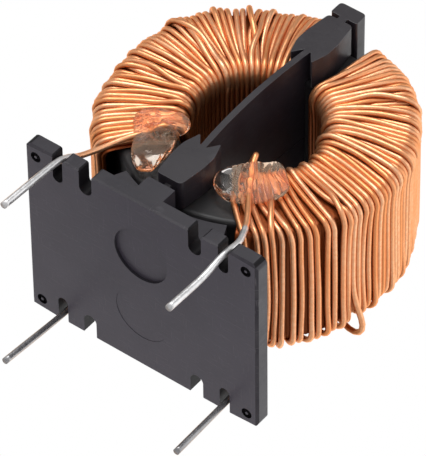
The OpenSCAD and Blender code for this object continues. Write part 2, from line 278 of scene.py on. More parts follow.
def makeCopper(look):
    # enamelled copper with a tone that changes along the wire, painted shade in the hole and on the sides that face
    # the next wire, and tinned at the tips
    material, tree, shader = newMaterial("enamelledCopper")
    speck = ramped(tree, objectNoise(tree, *look["speck"]), *look["speckLimits"])
    tone = mixColor(tree, attributeValue(tree, "tone"), look["dark"], look["light"])
    tone = mixColor(tree, ramped(tree, speck, 0.0, 1.0, 0.0, look["speckShare"]), tone, look["dark"])
    # painted shade on the sides that face the next wire
    tone = mixColor(tree, attributeValue(tree, "gap"), tone, look["gap"], "MULTIPLY")
    # painted shade in the hole
    tone = mixColor(tree, attributeValue(tree, "holeShadeMask"), tone, look["hole"], "MULTIPLY")
    dull = ramped(tree, objectNoise(tree, *look["tinSpeck"]), *look["tinLimits"], 0.0, look["tinShare"])
    tin = mixColor(tree, attributeValue(tree, "tone"), look["tinDull"], look["tin"])
    tin = mixColor(tree, dull, tin, look["tinDull"])
    fill(tree, shader, {
        "Base Color": mixColor(tree, attributeValue(tree, "tinned"), tone, tin),
        "Roughness": ramped(tree, speck, 0.0, 1.0, *look["roughness"]),
        "Normal": bumpFrom(tree, speck, *look["bump"]),
        "Metallic": look["metallic"],
        "Specular Tint": (*look["edge"], 1.0),
        "Coat Weight": look["coat"],
        "Coat Roughness": look["coatRoughness"],
    })
    return material


mouldedShape = {
    "grainDetail": 3.0,
    "cloud": (160.0, 3.0),  # scale and detail, the limits of the noise, and its share in the wear
    "cloudLimits": (0.35, 0.65),
    "cloudShare": 0.35,
    # scratches: scale, stretch along the axes, turn in radians and limits
    "scratches": ((260.0, (1, 22, 1), 0.5, (0.66, 0.72)), (300.0, (18, 1, 1), -0.35, (0.68, 0.74))),
    "scratchDetail": 1.0,
    "scratchDepth": -0.6,
    "strength": 0.6,
}


def makeMouldedGroup(shape):
    # moulded plastic with fine grain, cloudy tone, and faint scratches in two directions:
    # worn = (scratches + share of cloud) * wear, height = grain + depth * scratches
    group = bpy.data.node_groups.new("mouldedPlastic", "ShaderNodeTree")
    color, number = "NodeSocketColor", "NodeSocketFloat"
    for name, kind, value in (("Tone", color, (0.02, 0.02, 0.02, 1)), ("Worn", color, (0.1, 0.1, 0.1, 1)),
                              ("Grain", number, 1800.0), ("Wear", number, 0.2),
                              ("Shine", number, 0.4), ("Matt", number, 0.5)):
        group.interface.new_socket(name=name, in_out="INPUT", socket_type=kind).default_value = value
    for name, kind in (("Color", color), ("Roughness", number), ("Height", number)):
        group.interface.new_socket(name=name, in_out="OUTPUT", socket_type=kind)
    given, result = group.nodes.new("NodeGroupInput").outputs, group.nodes.new("NodeGroupOutput")
    place = addNode(group, "ShaderNodeTexCoord", "Object", {})

    def noise(scale, detail, stretch=(1, 1, 1), turn=0.0):
        vector = addNode(group, "ShaderNodeMapping", "Vector",
                         {"Vector": place, "Scale": stretch, "Rotation": (turn, turn, turn)})
        return addNode(group, "ShaderNodeTexNoise", "Fac", {"Vector": vector, "Scale": scale, "Detail": detail})

    grain = noise(given["Grain"], shape["grainDetail"])
    cloud = ramped(group, noise(*shape["cloud"]), *shape["cloudLimits"])
    first, second = (ramped(group, noise(scale, shape["scratchDetail"], stretch, turn), *limits)
                     for scale, stretch, turn, limits in shape["scratches"])
    scratches = combine(group, first, second, "MAXIMUM")
    worn = combine(group, scratches, combine(group, cloud, shape["cloudShare"], "MULTIPLY"), "ADD")
    worn = combine(group, worn, given["Wear"], "MULTIPLY")
    matt = combine(group, grain, cloud, "MULTIPLY")
    scored = combine(group, scratches, shape["scratchDepth"], "MULTIPLY")
    fill(group, result, {
        "Color": mixColor(group, worn, given["Tone"], given["Worn"]),
        "Roughness": addNode(group, "ShaderNodeMix", "Result",
                             {"Factor": matt, "A": given["Shine"], "B": given["Matt"]}),
        "Height": combine(group, grain, scored, "ADD"),
    })
    return group


mouldedGroup = makeMouldedGroup(mouldedShape)


plasticLooks = {
    # tone, worn tone, scale of the grain, wear, shine, matt, specular level and depth of the bump
    "basePlastic": ((0.0375, 0.031, 0.046), (0.11, 0.1, 0.115), 1600.0, 0.18, 0.36, 0.52, 0.75, 0.00003),
    "baseEdge": ((0.022, 0.019, 0.026), (0.2, 0.19, 0.205), 900.0, 0.3, 0.36, 0.55, 0.25, 0.00003),
    # sides and mark walls, a darker copy of the plastic: painted shade
    "baseSideShade": ((0.022, 0.0195, 0.026), (0.08, 0.075, 0.085), 1400.0, 0.2, 0.36, 0.52, 0.35, 0.00003),
    # slots and dimples, darker still: painted shade
    "baseSlotShade": ((0.007, 0.006, 0.0075), (0.03, 0.028, 0.032), 1400.0, 0.15, 0.45, 0.6, 0.15, 0.00003),
    "dividerPlastic": ((0.012, 0.009, 0.013), (0.07, 0.062, 0.072), 1500.0, 0.15, 0.38, 0.55, 0.5, 0.00003),
    # rounded edges of the dividers: worn, and lighter as a painted highlight
    "dividerEdgeWearAndSheen": ((0.03, 0.027, 0.032), (0.13, 0.12, 0.135), 900.0, 0.4, 0.3, 0.42, 0.6, 0.00003),
    "casePlastic": ((0.009, 0.008, 0.0092), (0.05, 0.045, 0.05), 1300.0, 0.12, 0.42, 0.58, 0.4, 0.00003),
    "ferriteBlack": ((0.06, 0.06, 0.064), (0.14, 0.14, 0.145), 3200.0, 0.3, 0.55, 0.8, 0.4, 0.00006),
}


def makePlastic(name, look):
    # plastic with the group's effect at the look's values
    material, tree, shader = newMaterial(name)
    group = tree.nodes.new("ShaderNodeGroup")
    group.node_tree = mouldedGroup
    tone, worn, *values, specular, depth = look
    fill(tree, group, {"Tone": (*tone, 1.0), "Worn": (*worn, 1.0)})
    fill(tree, group, dict(zip(("Grain", "Wear", "Shine", "Matt"), values)))
    fill(tree, shader, {
        "Base Color": group.outputs["Color"],
        "Roughness": group.outputs["Roughness"],
        "Normal": bumpFrom(tree, group.outputs["Height"], depth, mouldedShape["strength"]),
        "Specular IOR Level": specular,
    })
    return material


glueLooks = {
    # cloud and grain are a scale and a detail, and the bump is in metres, with its strength
    "clearGlue": {"light": (0.97, 0.94, 0.92), "dark": (0.9, 0.86, 0.83), "transmission": 1.0, "bends": 1.45,
                  "roughness": (0.02, 0.06), "cloud": (300.0, 3.0), "limits": (0.38, 0.64),
                  "grain": (500.0, 3.0), "bump": (0.00002, 0.7)},
    "milkyGlue": {"light": (1.0, 0.79, 0.62), "dark": (0.98, 0.66, 0.45), "transmission": 0.9, "bends": 1.27,
                  "roughness": (0.1, 0.2), "cloud": (420.0, 3.0), "limits": (0.38, 0.64),
                  "grain": (1300.0, 3.0), "bump": (0.000035, 0.7)},
}


def makeGlue(name, look):
    # clear glue with a faint cloud in its tone and roughness
    material, tree, shader = newMaterial(name)
    cloud = ramped(tree, objectNoise(tree, *look["cloud"]), *look["limits"])
    fill(tree, shader, {
        "Base Color": mixColor(tree, cloud, look["light"], look["dark"]),
        "Roughness": ramped(tree, cloud, 0.0, 1.0, *look["roughness"]),
        "Normal": bumpFrom(tree, objectNoise(tree, *look["grain"]), *look["bump"]),
        "Transmission Weight": look["transmission"],
        "IOR": look["bends"],
    })
    return material


copper = makeCopper(copperLook)
plastics = {name: makePlastic(name, look) for name, look in plasticLooks.items()}
glues = [makeGlue(name, look) for name, look in glueLooks.items()]
print("materials made")


ringShape = {
    "axisZ": 27.35,
    "innerR": 10.925,  # wire centre in the hole, first layer
    "outerR": 23.58,   # wire centre outside
    "faceH": 11.675,   # wire centre on the faces, first layer
    "innerBend": 1.5,
    "outerBend": (2.8, 1.7),  # back and front
    "crown": 0.15,     # how far the runs over the faces stand up at their middle
    "crownFrom": 0.8,  # in the part of the section above this share of the faces' height
    "samples": (10, 6, 12, 5, 10),  # from outside to the hole: outside, bend, face, bend and hole
}
wireShape = {
    "radius": 0.465,
    "spacing": 0.91,      # least distance between the centres of two wires
    "holeSpacing": 0.86,  # and how much of it they keep in the hole
    "turns": 54,
    "sides": 12,
}
rightWinding = {
    "seed": 11,
    "start": 26.8,     # angles from the plate to the first and the last outside run
    "end": 166.5,
    "pitchPlaces": (0.0, 0.03, 0.06, 0.1, 0.2, 0.45, 0.6, 0.75, 1.0),
    "pitch": (1.0, 1.35, 1.3, 1.1, 1.1, 1.0, 0.8, 0.8, 1.0),
    "uneven": 0.3,
    "fanOuter": (26.8, 43, 55, 66, 78, 86, 99, 116, 128, 157, 166),  # outside a wire lies at the first angle,
    "fanInner": (17.5, 39.0, 52, 65, 82, 92, 107, 125, 135, 157, 165),  # and in the hole at the second
    "crossings": 0.08,
    "wander": 0.9,     # degrees that neighbouring wires drift together, and each one alone
    "ownWander": 0.35,
    "innerScatter": 0.4,
    "margin": 0.6,     # how far wires may be pushed past the planned first and last ones
    "bulges": ((0.12, 3.0, 10), (0.13, 0.8, 14)),  # mm, and reach in steps of 2 degrees and in samples
    "frontRise": ((28, 0.1), (60, 0.1), (90, 0.4), (115, 0.6), (140, 0.3), (166, 0.4)),  # at the shoulders
    "backRise": ((28, 0.3), (60, 0.2), (75, -0.4), (110, -0.4), (166, 0.0)),
    # places along a turn, their widths in samples and how far single wires stick out there
    "loosePlaces": ((0.15, 3.0, 0.12), (0.65, 2.2, 0.25), (0.84, 3.0, 0.12)),
    "startSample": 62,  # where the back lead leaves the first turn, and the front lead the last
    "endSample": 50,
    # angle and sample of single loose loops, how far they stick out in mm and their width
    "loops": ((75, 13, 2.8, 3.2), (36, 55, 1.6, 1.8), (54, 55, 0.7, 1.8), (63, 55, 0.7, 1.8)),
}
leftWinding = dict(rightWinding, seed=23, start=34.6, end=166.5, pitchPlaces=(0.0, 1.0), pitch=(1.0, 1.0),
                   fanOuter=(34.6, 53, 66, 84, 98, 118, 140, 166),
                   fanInner=(37, 60, 74, 91, 103, 121.5, 139, 165),
                   frontRise=((38, 0.3), (85, 0.7), (105, 0.8), (130, 1.1), (150, 0.5), (166, 0.3)),
                   backRise=((38, 0.0), (166, 0.0)),
                   loops=((118, 56, 0.5, 1.8), (95, 55, 0.6, 1.8), (148, 71, 0.7, 4), (140, 71, 0.3, 4),
                          (127, 71, 0.45, 5), (113, 71, 0.35, 5), (91, 71, 0.5, 5), (73, 71, 0.5, 5)))


def sectionLoop(ring):
    # the loop round the ring's section as one closed run, from the outside's middle over the back
    # face and through the hole to the front: radius, height and outward normal for each sample;
    # the faces are crowned by half a sine
    innerR, outerR, face, inward = ring["innerR"], ring["outerR"], ring["faceH"], ring["innerBend"]
    counts = ring["samples"]

    def straight(a, b, n):
        t = np.linspace(0, 1, n, endpoint=False)[:, None]
        return np.array(a) + (np.array(b) - np.array(a)) * t

    def arc(centre, radius, start, end, n):
        t = np.radians(np.linspace(start, end, n, endpoint=False))
        return np.array(centre) + radius * np.stack([np.cos(t), np.sin(t)], 1)

    def side(bend):
        points = np.vstack([
            straight((outerR, 0.0), (outerR, face - bend), counts[0]),
            arc((outerR - bend, face - bend), bend, 0, 90, counts[1]),
            straight((outerR - bend, face), (innerR + inward, face), counts[2]),
            arc((innerR + inward, face - inward), inward, 90, 180, counts[3]),
            straight((innerR, face - inward), (innerR, 0.0), counts[4]),
        ])
        across = np.clip((points[:, 0] - innerR - inward) / (outerR - bend - innerR - inward), 0, 1)
        points[:, 1] += ring["crown"] * np.sin(np.pi * across) * (points[:, 1] > ring["crownFrom"] * face)
        return points

    back, front = (side(bend) for bend in ring["outerBend"])
    loop = np.vstack([back, [innerR, 0.0], front[1:][::-1] * [1, -1]])
    along = unit(np.roll(loop, -1, 0) - np.roll(loop, 1, 0))
    return np.hstack([loop, along[:, 1:], -along[:, :1]])


planning = {
    "pitchLimits": (0.55, 2.2),  # of a single pitch, as shares of the planned one
    "bend": 0.12,           # how unevenly wires slant over the faces, and its reach in steps of 2 degrees
    "bendReach": 5,
    "straight": 0.6,        # share of a straight line in the slanting runs, the rest is a smooth step
    "wanderReach": (4, 9),  # steps of 2 degrees, and samples
    "ownReach": 14,
    "calm": (13, 0.5),      # up to this radius the wires wander by this share only
    "climb": 0.02,          # mm that each turn starts above the last one
    "rough": (0.2, 12),     # mm that parts of a wire start higher, and their reach in samples
    "quiet": (8, 12),       # samples from the hole's middle to the first bulges, and until they are full
    "looseness": 1.5,       # power that makes a few wires stick out more than the others
    "shoulder": (8, 6),     # samples from the shoulder's start to the face, and until it is full
}


def ranks(keys):
    # each key's number in their order
    return np.argsort(np.argsort(keys))


def planTurns(look, wire, loop, counts):
    # where each wire would like to lie: an angle and a height over the case for each turn and sample;
    # the wire goes out on the first layer and comes back between those runs on the second
    rng = np.random.default_rng(look["seed"])
    samples, turns = len(loop), wire["turns"]
    half, layer = samples // 2, turns // 2
    turn = np.arange(turns + 1)
    pitch = np.interp(np.linspace(0, 1, turns), look["pitchPlaces"], look["pitch"])
    gaps = np.cumsum(pitch * np.clip(1 + look["uneven"] * rng.standard_normal(turns), *planning["pitchLimits"]))
    outer = look["start"] + np.append(0, gaps) / gaps[-1] * (look["end"] - look["start"])
    outerRun = outer[ranks(np.where(turn < layer, 2 * turn, 2 * turns - 2 * turn + 1))]
    turn = turn[:-1]
    # most runs of the two layers cross on the back face, and some on the front
    crossed = np.where(rng.random(turns) < look["crossings"], 2, 0)
    inner = np.interp(outer[:-1] + 0.5 * np.diff(outer), look["fanOuter"], look["fanInner"])
    inner = inner[ranks(np.where(turn < layer, 2 * turn + 2 - crossed, 2 * turns - 2 * turn - 1 + crossed))]
    inner = inner + look["innerScatter"] * rng.standard_normal(turns)

    position = np.arange(samples)
    along = np.minimum(position, samples - position)
    first, last = counts[0] + counts[1] // 2, sum(counts[:3])
    part = np.clip((along[None, :] - first) / (last - first), 0, 1)
    run = np.where(position[None, :] < half, outerRun[:-1, None], outerRun[1:, None])
    bend = fieldAt(smoothField(rng, samples, planning["bendReach"], samples), run)
    share = part ** (1 + planning["bend"] * bend)
    share = planning["straight"] * share + (1 - planning["straight"]) * smoothStep(share)
    angle = run * (1 - share) + inner[:, None] * share
    drift = look["wander"] * fieldAt(smoothField(rng, samples, *planning["wanderReach"]), run)
    drift += look["ownWander"] * smoothNoise(rng, turns * samples, planning["ownReach"]).reshape(turns, samples)
    calmRadius, calmShare = planning["calm"]
    angle += drift * np.where(loop[:, 0] > calmRadius, 1.0, calmShare)
    rough, roughReach = planning["rough"]
    height = np.where(turn < layer, 0.0, 1.0)[:, None] * wire["spacing"] + planning["climb"] * turn[:, None] \
        + rough * np.abs(smoothNoise(rng, turns * samples, roughReach)).reshape(turns, samples)
    return angle, height, standOff(rng, look, run, position, counts)


def shoulderRise(look, run, position, samples, counts):
    # the tables' height by angle, with a smooth step up along the outside and down over the face
    rise, face = 0.0, sum(counts[:2])
    before, grows = planning["shoulder"]
    for table, place in ((look["frontRise"], samples - position), (look["backRise"], position)):
        ramp = smoothStep((sum(counts[:3]) - place) / counts[2]) * smoothStep((place - face + before) / grows)
        rise = rise + np.interp(run, *np.transpose(table)) * ramp
    return rise


def standOff(rng, look, run, position, counts):
    # how far each wire stands off after settling: the shoulders rise by the tables, neighbours
    # bulge together, and single wires stick out at a few places
    turns, samples = run.shape
    quiet, grows = planning["quiet"]
    stand = sum(most * fieldAt(smoothField(rng, samples, *reach), run) for most, *reach in look["bulges"])
    stand = stand * smoothStep((np.abs(position - samples / 2) - quiet) / grows)
    stand = stand + shoulderRise(look, run, position, samples, counts)
    single = np.abs(rng.standard_normal((len(look["loosePlaces"]), turns, 1))) ** planning["looseness"]
    for amount, (where, width, most) in zip(single, look["loosePlaces"]):
        stand = stand + most * amount * np.exp(-0.5 * ((position - where * samples) / width) ** 2)
    return stand


settling = {
    "rounds": 260,
    "pushes": 2,          # in each round
    "tension": 0.06,      # mm that the wires sink in the first round, and the share of it lost by the last
    "slackens": 0.8,
    "stiffness": 0.25,
    "hold": 0.004,        # share of the way back to the planned angle
    "near": 2.2,          # only wires planned within so many spacings can touch
    "hole": (12.4, 1.2),  # radius where the closer spacing of the hole begins, and mm until it is full
    "steepest": 1.2,      # slope up to which slanting wires need more room
    "even": 0.04,         # push between neighbours less than this reach apart, in mm
    "evenReach": 1.0,
    "level": 0.7,         # mm of height between them at most
    "ease": 0.6,          # a wire between many others is moved by less
    "smoothing": 3,       # samples
}


def settle(loop, target, height, wire, margin):
    # lets the wires sink onto the case: in each round tension lowers them, stiffness smooths them,
    # and any two closer than the spacing push each other apart, sideways or up
    turns, samples = target.shape
    radius, outward = loop[:, 0], loop[:, 2]
    step = np.linalg.norm(np.diff(np.vstack([loop[:, :2], loop[:1, :2]]), axis=0), axis=1)
    slope = np.gradient(np.radians(target).ravel()).reshape(turns, samples) * radius / step
    tight = 1 - (1 - wire["holeSpacing"]) * stepBelow(radius, *settling["hole"])
    wide = np.sqrt(1 + np.clip(slope, -settling["steepest"], settling["steepest"]) ** 2) * wire["spacing"] * tight
    one, two = np.nonzero(np.triu(np.ones((turns, turns), bool), 1))
    least = (np.abs(target[one] - target[two]) * np.radians(radius)).min(1)
    close = least < settling["near"] * wire["spacing"]
    one, two = one[close], two[close]
    angle = target
    lowest, highest = target.min(0) - margin, target.max(0) + margin
    for r in range(settling["rounds"]):
        height = height - settling["tension"] * (1 - settling["slackens"] * r / settling["rounds"])
        shift, height = (angle - target).ravel(), height.ravel()
        for line in (shift, shift, height, height):
            line[1:-1] += settling["stiffness"] * (line[:-2] + line[2:] - 2 * line[1:-1])
        angle = target + shift.reshape(turns, samples) * (1 - settling["hold"])
        height = height.reshape(turns, samples)
        for _ in range(settling["pushes"]):
            arc = np.radians(radius + outward * height)
            aside = (angle[one] - angle[two]) * 0.5 * (arc[one] + arc[two])
            above = height[one] - height[two]
            distance = np.hypot(aside, above) + 1e-6
            push = 0.5 * np.clip(0.5 * (wide[one] + wide[two]) - distance, 0, None)
            even = settling["even"] * np.clip(settling["evenReach"] - np.abs(aside), 0, None) * np.sign(aside)
            sideways = push * aside / distance + np.where(np.abs(above) < settling["level"], even, 0)
            moves = np.zeros((3, turns, samples))
            for k, move in enumerate((sideways, push * above / distance, (push > 0).astype(float))):
                np.add.at(moves[k], one, move)
                np.add.at(moves[k], two, move if k == 2 else -move)
            ease = 1.0 / np.maximum(1, settling["ease"] * moves[2])
            angle = np.clip(angle + moves[0] * ease / arc, lowest, highest)
            height = np.clip(height + moves[1] * ease, 0, None)
    return angle, height


def windingRoute(look, ring, wire):
    # radius, height and angle along the whole wire, turn after turn
    loop = sectionLoop(ring)
    target, height, stand = planTurns(look, wire, loop, ring["samples"])
    angles, height = settle(loop, target, height, wire, look["margin"])
    position = np.arange(len(loop))
    for angle, where, reachOut, width in look["loops"]:
        number = np.abs(angles[:, where] - angle).argmin()
        stand[number] += reachOut * np.exp(-0.5 * ((position - where) / width) ** 2)
    height = blur((height + stand).ravel(), settling["smoothing"]).reshape(height.shape)
    angles = blur(angles.ravel(), settling["smoothing"]).reshape(height.shape)
    r = loop[None, :, 0] + loop[None, :, 2] * height
    h = -loop[None, :, 1] - loop[None, :, 3] * height
    return r.ravel(), h.ravel(), angles.ravel()


def ringPlace(side, r, h, angle, axisZ):
    # X = r sin a on the winding's side, Y = -h and Z = axis - r cos a
    angle = np.radians(angle)
    return np.stack([side * r * np.sin(angle), -h, axisZ - r * np.cos(angle)], -1)


def cubicSpan(around, t):
    # cubic from the second to the third of four points, with tangents along their neighbours
    p0, p1, p2, p3 = around
    return 0.5 * (2 * p1 + (p2 - p0) * t + (2 * p0 - 5 * p1 + 4 * p2 - p3) * t ** 2
                  + (3 * p1 - p0 - 3 * p2 + p3) * t ** 3)


def curveThrough(points, count):
    # smooth curve through the points, a cubic for each span
    points = np.asarray(points, float)
    padded = np.vstack([2 * points[0] - points[1], points, 2 * points[-1] - points[-2]])
    knots = np.linspace(0, len(points) - 1, count)
    i = np.clip(knots.astype(int), 0, len(points) - 2)
    return cubicSpan([padded[i + k] for k in range(4)], (knots - i)[:, None])


def closedCurve(points, count):
    # the same kind of curve round a closed outline
    points = np.asarray(points, float)
    knots = np.linspace(0, len(points), count, endpoint=False)
    i = knots.astype(int)
    return cubicSpan([points[(i + k) % len(points)] for k in (-1, 0, 1, 2)], (knots - i)[:, None])


def tube(path, around, radius, sides):
    # circle carried along the path; each ring is turned by the direction round the big ring
    along = unit(np.gradient(path, axis=0))
    across = unit(np.cross(along, around))
    third = np.cross(along, across)
    turn = np.linspace(0, 2 * math.pi, sides, endpoint=False)[None, :, None]
    radius = np.broadcast_to(np.asarray(radius, float), (len(path),))[:, None, None]
    rings = path[:, None, :] + radius * (np.cos(turn) * across[:, None, :] + np.sin(turn) * third[:, None, :])
    last = (len(path) - 1) * sides
    caps = [list(range(sides))[::-1], [last + k for k in range(sides)]]
    return rings.reshape(-1, 3), ringFaces(len(path), sides).tolist() + caps


leadShapes = {
    # points from the hole or the face to the lead's tip, in mm, and the height where the tin starts
    "frontLeft": (((-8.3, -13.4, 17.6), (-10.4, -13.1, 14.9), (-12.2, -12.9, 12.5), (-13.7, -13.0, 8.6),
                   (-14.7, -13.7, 5.0), (-15.0, -15.2, 2.3), (-15, -16.1, 0), (-15, -16.5, -4),
                   (-15, -17.0, -12.1)), 4.2),
    "frontRight": (((5.2, -13.3, 20.2), (6.1, -13.5, 18.6), (8.2, -13.55, 15.1), (10.1, -13.7, 12.3),
                    (11.6, -13.9, 10.2), (13.2, -14.1, 7.6), (14.7, -14.8, 4.2), (15, -15.5, 1.2),
                    (15, -15.5, -1.0), (15, -14.95, -5.0), (15, -15.2, -12.5)), 7.6),
    "backLeft": (((-14.8, 14.4, 5.0), (-15, 14.9, 3.0), (-15, 15.3, 0.0), (-15, 14.0, -13.6)), 2.2),
    "backRight": (((14.6, 14.4, 5.0), (15, 14.9, 3.0), (15, 15.2, 0.0), (15, 15.6, -11.5)), 2.2),
}


# where the painted shade falls between neighbouring turns
gapShape = {
    "middle": 16.3,       # mm from the axis to the middle of the section
    "half": (7.0, 12.4),  # half its width and half its depth
    "power": 7,
    "open": 0.62,         # a wire's surface gets no painted shade where it faces outwards by this share
    "closed": -0.2,       # and the full painted shade where it faces outwards by this one
}


def gapShade(path, vertices, gap):
    # painted shade on the sides that face the next turns: spoke . outward, with outward = gradient of |u|^(p+1) +
    # |v|^(p+1) across the section
    power = gap["power"]
    spoke = unit(vertices.reshape(len(path), -1, 3) - path[:, None, :])
    away = path * (1, 0, 1) - (0, 0, ringShape["axisZ"])
    radius = np.linalg.norm(away, axis=1, keepdims=True)
    u = (radius - gap["middle"]) / gap["half"][0]
    v = path[:, 1:2] / gap["half"][1]
    outward = np.sign(u) * np.abs(u) ** power * away / radius + np.sign(v) * np.abs(v) ** power * (0, 1, 0)
    outward /= np.linalg.norm(outward, axis=1, keepdims=True) + 1e-9
    facing = np.sum(spoke * outward[:, None, :], axis=2)
    return stepBelow(facing, gap["open"], gap["open"] - gap["closed"])


leadFinish = {
    "frontSteps": 90,
    "backSteps": 60,
    "fade": 0.6,        # mm over which the tin starts
    "thicker": 0.04,    # mm that the solder adds to the radius in front, and more towards the tips
    "swell": 0.05,
    "swells": (2, 12),  # from this height down, and mm until it is full
    "frontTone": 0.9,   # 1 is bright, 0 dull grey
    # the back leads are darker as painted shade
    "backShadeTone": 0.12,
}
toneShape = {
    "middle": 0.5,
    "slow": (0.3, 40),  # random changes of tone: size, and reach in samples
    "quick": (0.15, 5),
    "tin": (0.1, 3),
}
# painted shade in the hole, by radius and by depth from the middle plane
holeShade = {
    "radius": (12.2, 1.2),  # where it starts, and mm until it is full
    "depth": (12.2, 3.4),
}


def makeWinding(name, node, side, look, leads):
    # one wire: back lead, two layers of turns, front lead
    r, h, angle = windingRoute(look, ringShape, wireShape)
    samples = len(r) // wireShape["turns"]
    start = look["startSample"]
    end = len(r) - samples + look["endSample"]
    r, h, angle = r[start:end], h[start:end], angle[start:end]
    body = ringPlace(side, r, h, angle, ringShape["axisZ"])
    a = np.radians(angle)
    around = np.stack([np.cos(a), np.zeros_like(a), side * np.sin(a)], -1)
    (frontPoints, frontTin), (backPoints, backTin) = leads
    back = curveThrough(np.vstack([body[:1], backPoints]), leadFinish["backSteps"])[::-1]
    front = curveThrough(np.vstack([body[-1:], frontPoints]), leadFinish["frontSteps"])
    path = np.vstack([back[:-1], body, front[1:]])
    around = np.vstack([np.repeat(around[:1], len(back) - 1, 0), around, np.repeat(around[-1:], len(front) - 1, 0)])
    height = path[:, 2]
    isBack = np.arange(len(path)) < len(back)
    isFront = np.arange(len(path)) > len(path) - len(front)
    fade = leadFinish["fade"]
    tinned = stepBelow(height, backTin, fade) * isBack + stepBelow(height, frontTin, fade) * isFront
    solder = leadFinish["thicker"] * isFront + leadFinish["swell"] * stepBelow(height, *leadFinish["swells"])
    thick = wireShape["radius"] + tinned * solder
    vertices, faces = tube(path * mm, around, thick * mm, wireShape["sides"])
    rng = np.random.default_rng(look["seed"] + 1)

    def unevenTone(kind):
        size, reach = toneShape[kind]
        return size * smoothNoise(rng, len(path), reach)

    tone = toneShape["middle"] + unevenTone("slow") + unevenTone("quick")
    # the back leads get a darker tin tone as painted shade
    tinTone = np.where(isBack, leadFinish["backShadeTone"], leadFinish["frontTone"]) + unevenTone("tin")
    tone = tone + tinned * (tinTone - tone)
    radius = np.hypot(path[:, 0], path[:, 2] - ringShape["axisZ"])
    # painted shade in the hole
    holeShadeMask = stepBelow(radius, *holeShade["radius"]) * stepBelow(np.abs(path[:, 1]), *holeShade["depth"])
    marks = {"tinned": tinned, "tone": np.clip(tone, 0, 1), "holeShadeMask": holeShadeMask}
    marks = {key: np.repeat(values, wireShape["sides"]) for key, values in marks.items()}
    # painted shade on the sides of the turns that face their neighbours, none on the leads
    marks["gap"] = (gapShade(path, vertices / mm, gapShape) * ~(isBack | isFront)[:, None]).ravel()
    return newPiece(name, vertices, faces, copper, [node], marks)


liningShape = {
    "under": 0.56,   # how far it lies under the wires' centres outside, and on the faces
    "underFace": 0.44,
    "thick": 0.5,
    "thickFace": 0.025,
    "ribs": 0.1,     # height of its wires
    "pitch": 2.2,    # degrees between them
    "follows": 0.85,  # share of the wires' rise at the shoulders
    "shade": 0.7,    # it gets the painted shade of the hole by this share
    "inset": (2.8, 0.8),  # degrees from the first wire to its edge, and from the other edge to the last
    "turned": 0.7,    # it counts as outside where its normal points outwards by this share
    "steps": 300,
}


def makeLining(name, node, side, look, lining):
    # the turns underneath the outer ones: a band over both faces and the outside, ribbed by the size of a sine, with
    # thickness towards the core; it gets the full painted gap shade and part of the painted hole shade
    loop, counts = sectionLoop(ringShape), ringShape["samples"]
    reach = sum(counts[:3]) - 2
    band = np.vstack([loop[-reach:], loop[:reach + 1]])
    turned = smoothStep(np.abs(band[:, 2]) / lining["turned"])
    first, last = lining["inset"]
    a = np.linspace(look["start"] + first, look["end"] - last, lining["steps"])
    rib = lining["ribs"] * np.abs(np.sin(np.pi * a / lining["pitch"]))[:, None] * turned
    under = lining["underFace"] + (lining["under"] - lining["underFace"]) * turned
    place = np.arange(-reach, reach + 1) % len(loop)
    rise = shoulderRise(look, a[:, None], place[None, :], len(loop), counts) * lining["follows"]
    thick = lining["thickFace"] + (lining["thick"] - lining["thickFace"]) * turned
    depth = np.stack([under - rib - rise, under + thick - rise])
    r = band[None, None, :, 0] - depth * band[None, None, :, 2]
    h = -band[None, None, :, 1] + depth * band[None, None, :, 3]
    places = ringPlace(side, r, h, np.broadcast_to(a[None, :, None], r.shape), ringShape["axisZ"])
    section = np.concatenate([places[0], places[1][:, ::-1]], 1)  # outer skin, then inner skin back
    rows, columns = section.shape[:2]
    strip = np.arange(columns // 2 - 1)  # each end is a strip between the skins
    end = np.stack([strip, columns - 1 - strip, columns - 2 - strip, strip + 1], -1)
    faces = np.vstack([ringFaces(rows, columns), end, end[:, ::-1] + (rows - 1) * columns])
    if side < 0:
        faces = faces[:, ::-1]
    # painted shade: all of the gap shade and part of the hole shade
    return newPiece(name, section.reshape(-1, 3) * mm, faces.tolist(), copper, [node],
                    {"gap": np.ones(rows * columns), "holeShadeMask": np.full(rows * columns, lining["shade"])})


makeWinding("copperWindingRight", "winding_right", 1, rightWinding,
            (leadShapes["frontRight"], leadShapes["backRight"]))
makeWinding("copperWindingLeft", "winding_left", -1, leftWinding,
            (leadShapes["frontLeft"], leadShapes["backLeft"]))
makeLining("copperLiningRight", "winding_right", 1, rightWinding, liningShape)
makeLining("copperLiningLeft", "winding_left", -1, leftWinding, liningShape)
print("windings made")


glueRight = {
    # outline in X and Z, in mm; depths in front of the ring's middle plane
    "outline": ((3.1, 13.2), (2.7, 14.8), (3.3, 16.5), (4.4, 18.0), (5.7, 19.5), (7.2, 20.5), (8.2, 21.5), (9.5, 21.4),
                (11.2, 20.1), (12.8, 18.4), (12.9, 16.4), (12.0, 14.6), (10.5, 12.9), (8.7, 11.7), (7.1, 11.1),
                (5.4, 11.4), (4.0, 12.1)),
    "centre": (8.2, 16.2),
    "back": 11.9,
    "edge": 12.9,
    "front": 13.9,
    "lumps": ((5.6, 19.6, 0.9, 0.5), (6.3, 18.3, 1.1, 0.8), (7.2, 16.8, 1.1, 0.85), (8.4, 14.9, 1.1, 0.85),
              (9.5, 13.3, 1.0, 0.8), (10.6, 17.6, 1.6, 0.3)),  # X, Z, reach and height
    "milkyLine": ((3.7, 17.1), (7.6, 11.5)),  # left of this line, in X and Z, it is milky
    "ridges": (3.6, 0.1),     # over the wires: angle between them and height
    "beads": (11.5, 13.6, 0.1),  # along the edge below: from and to this Z, and their height
    "ruffle": 0.05,
    "seed": 3,
}
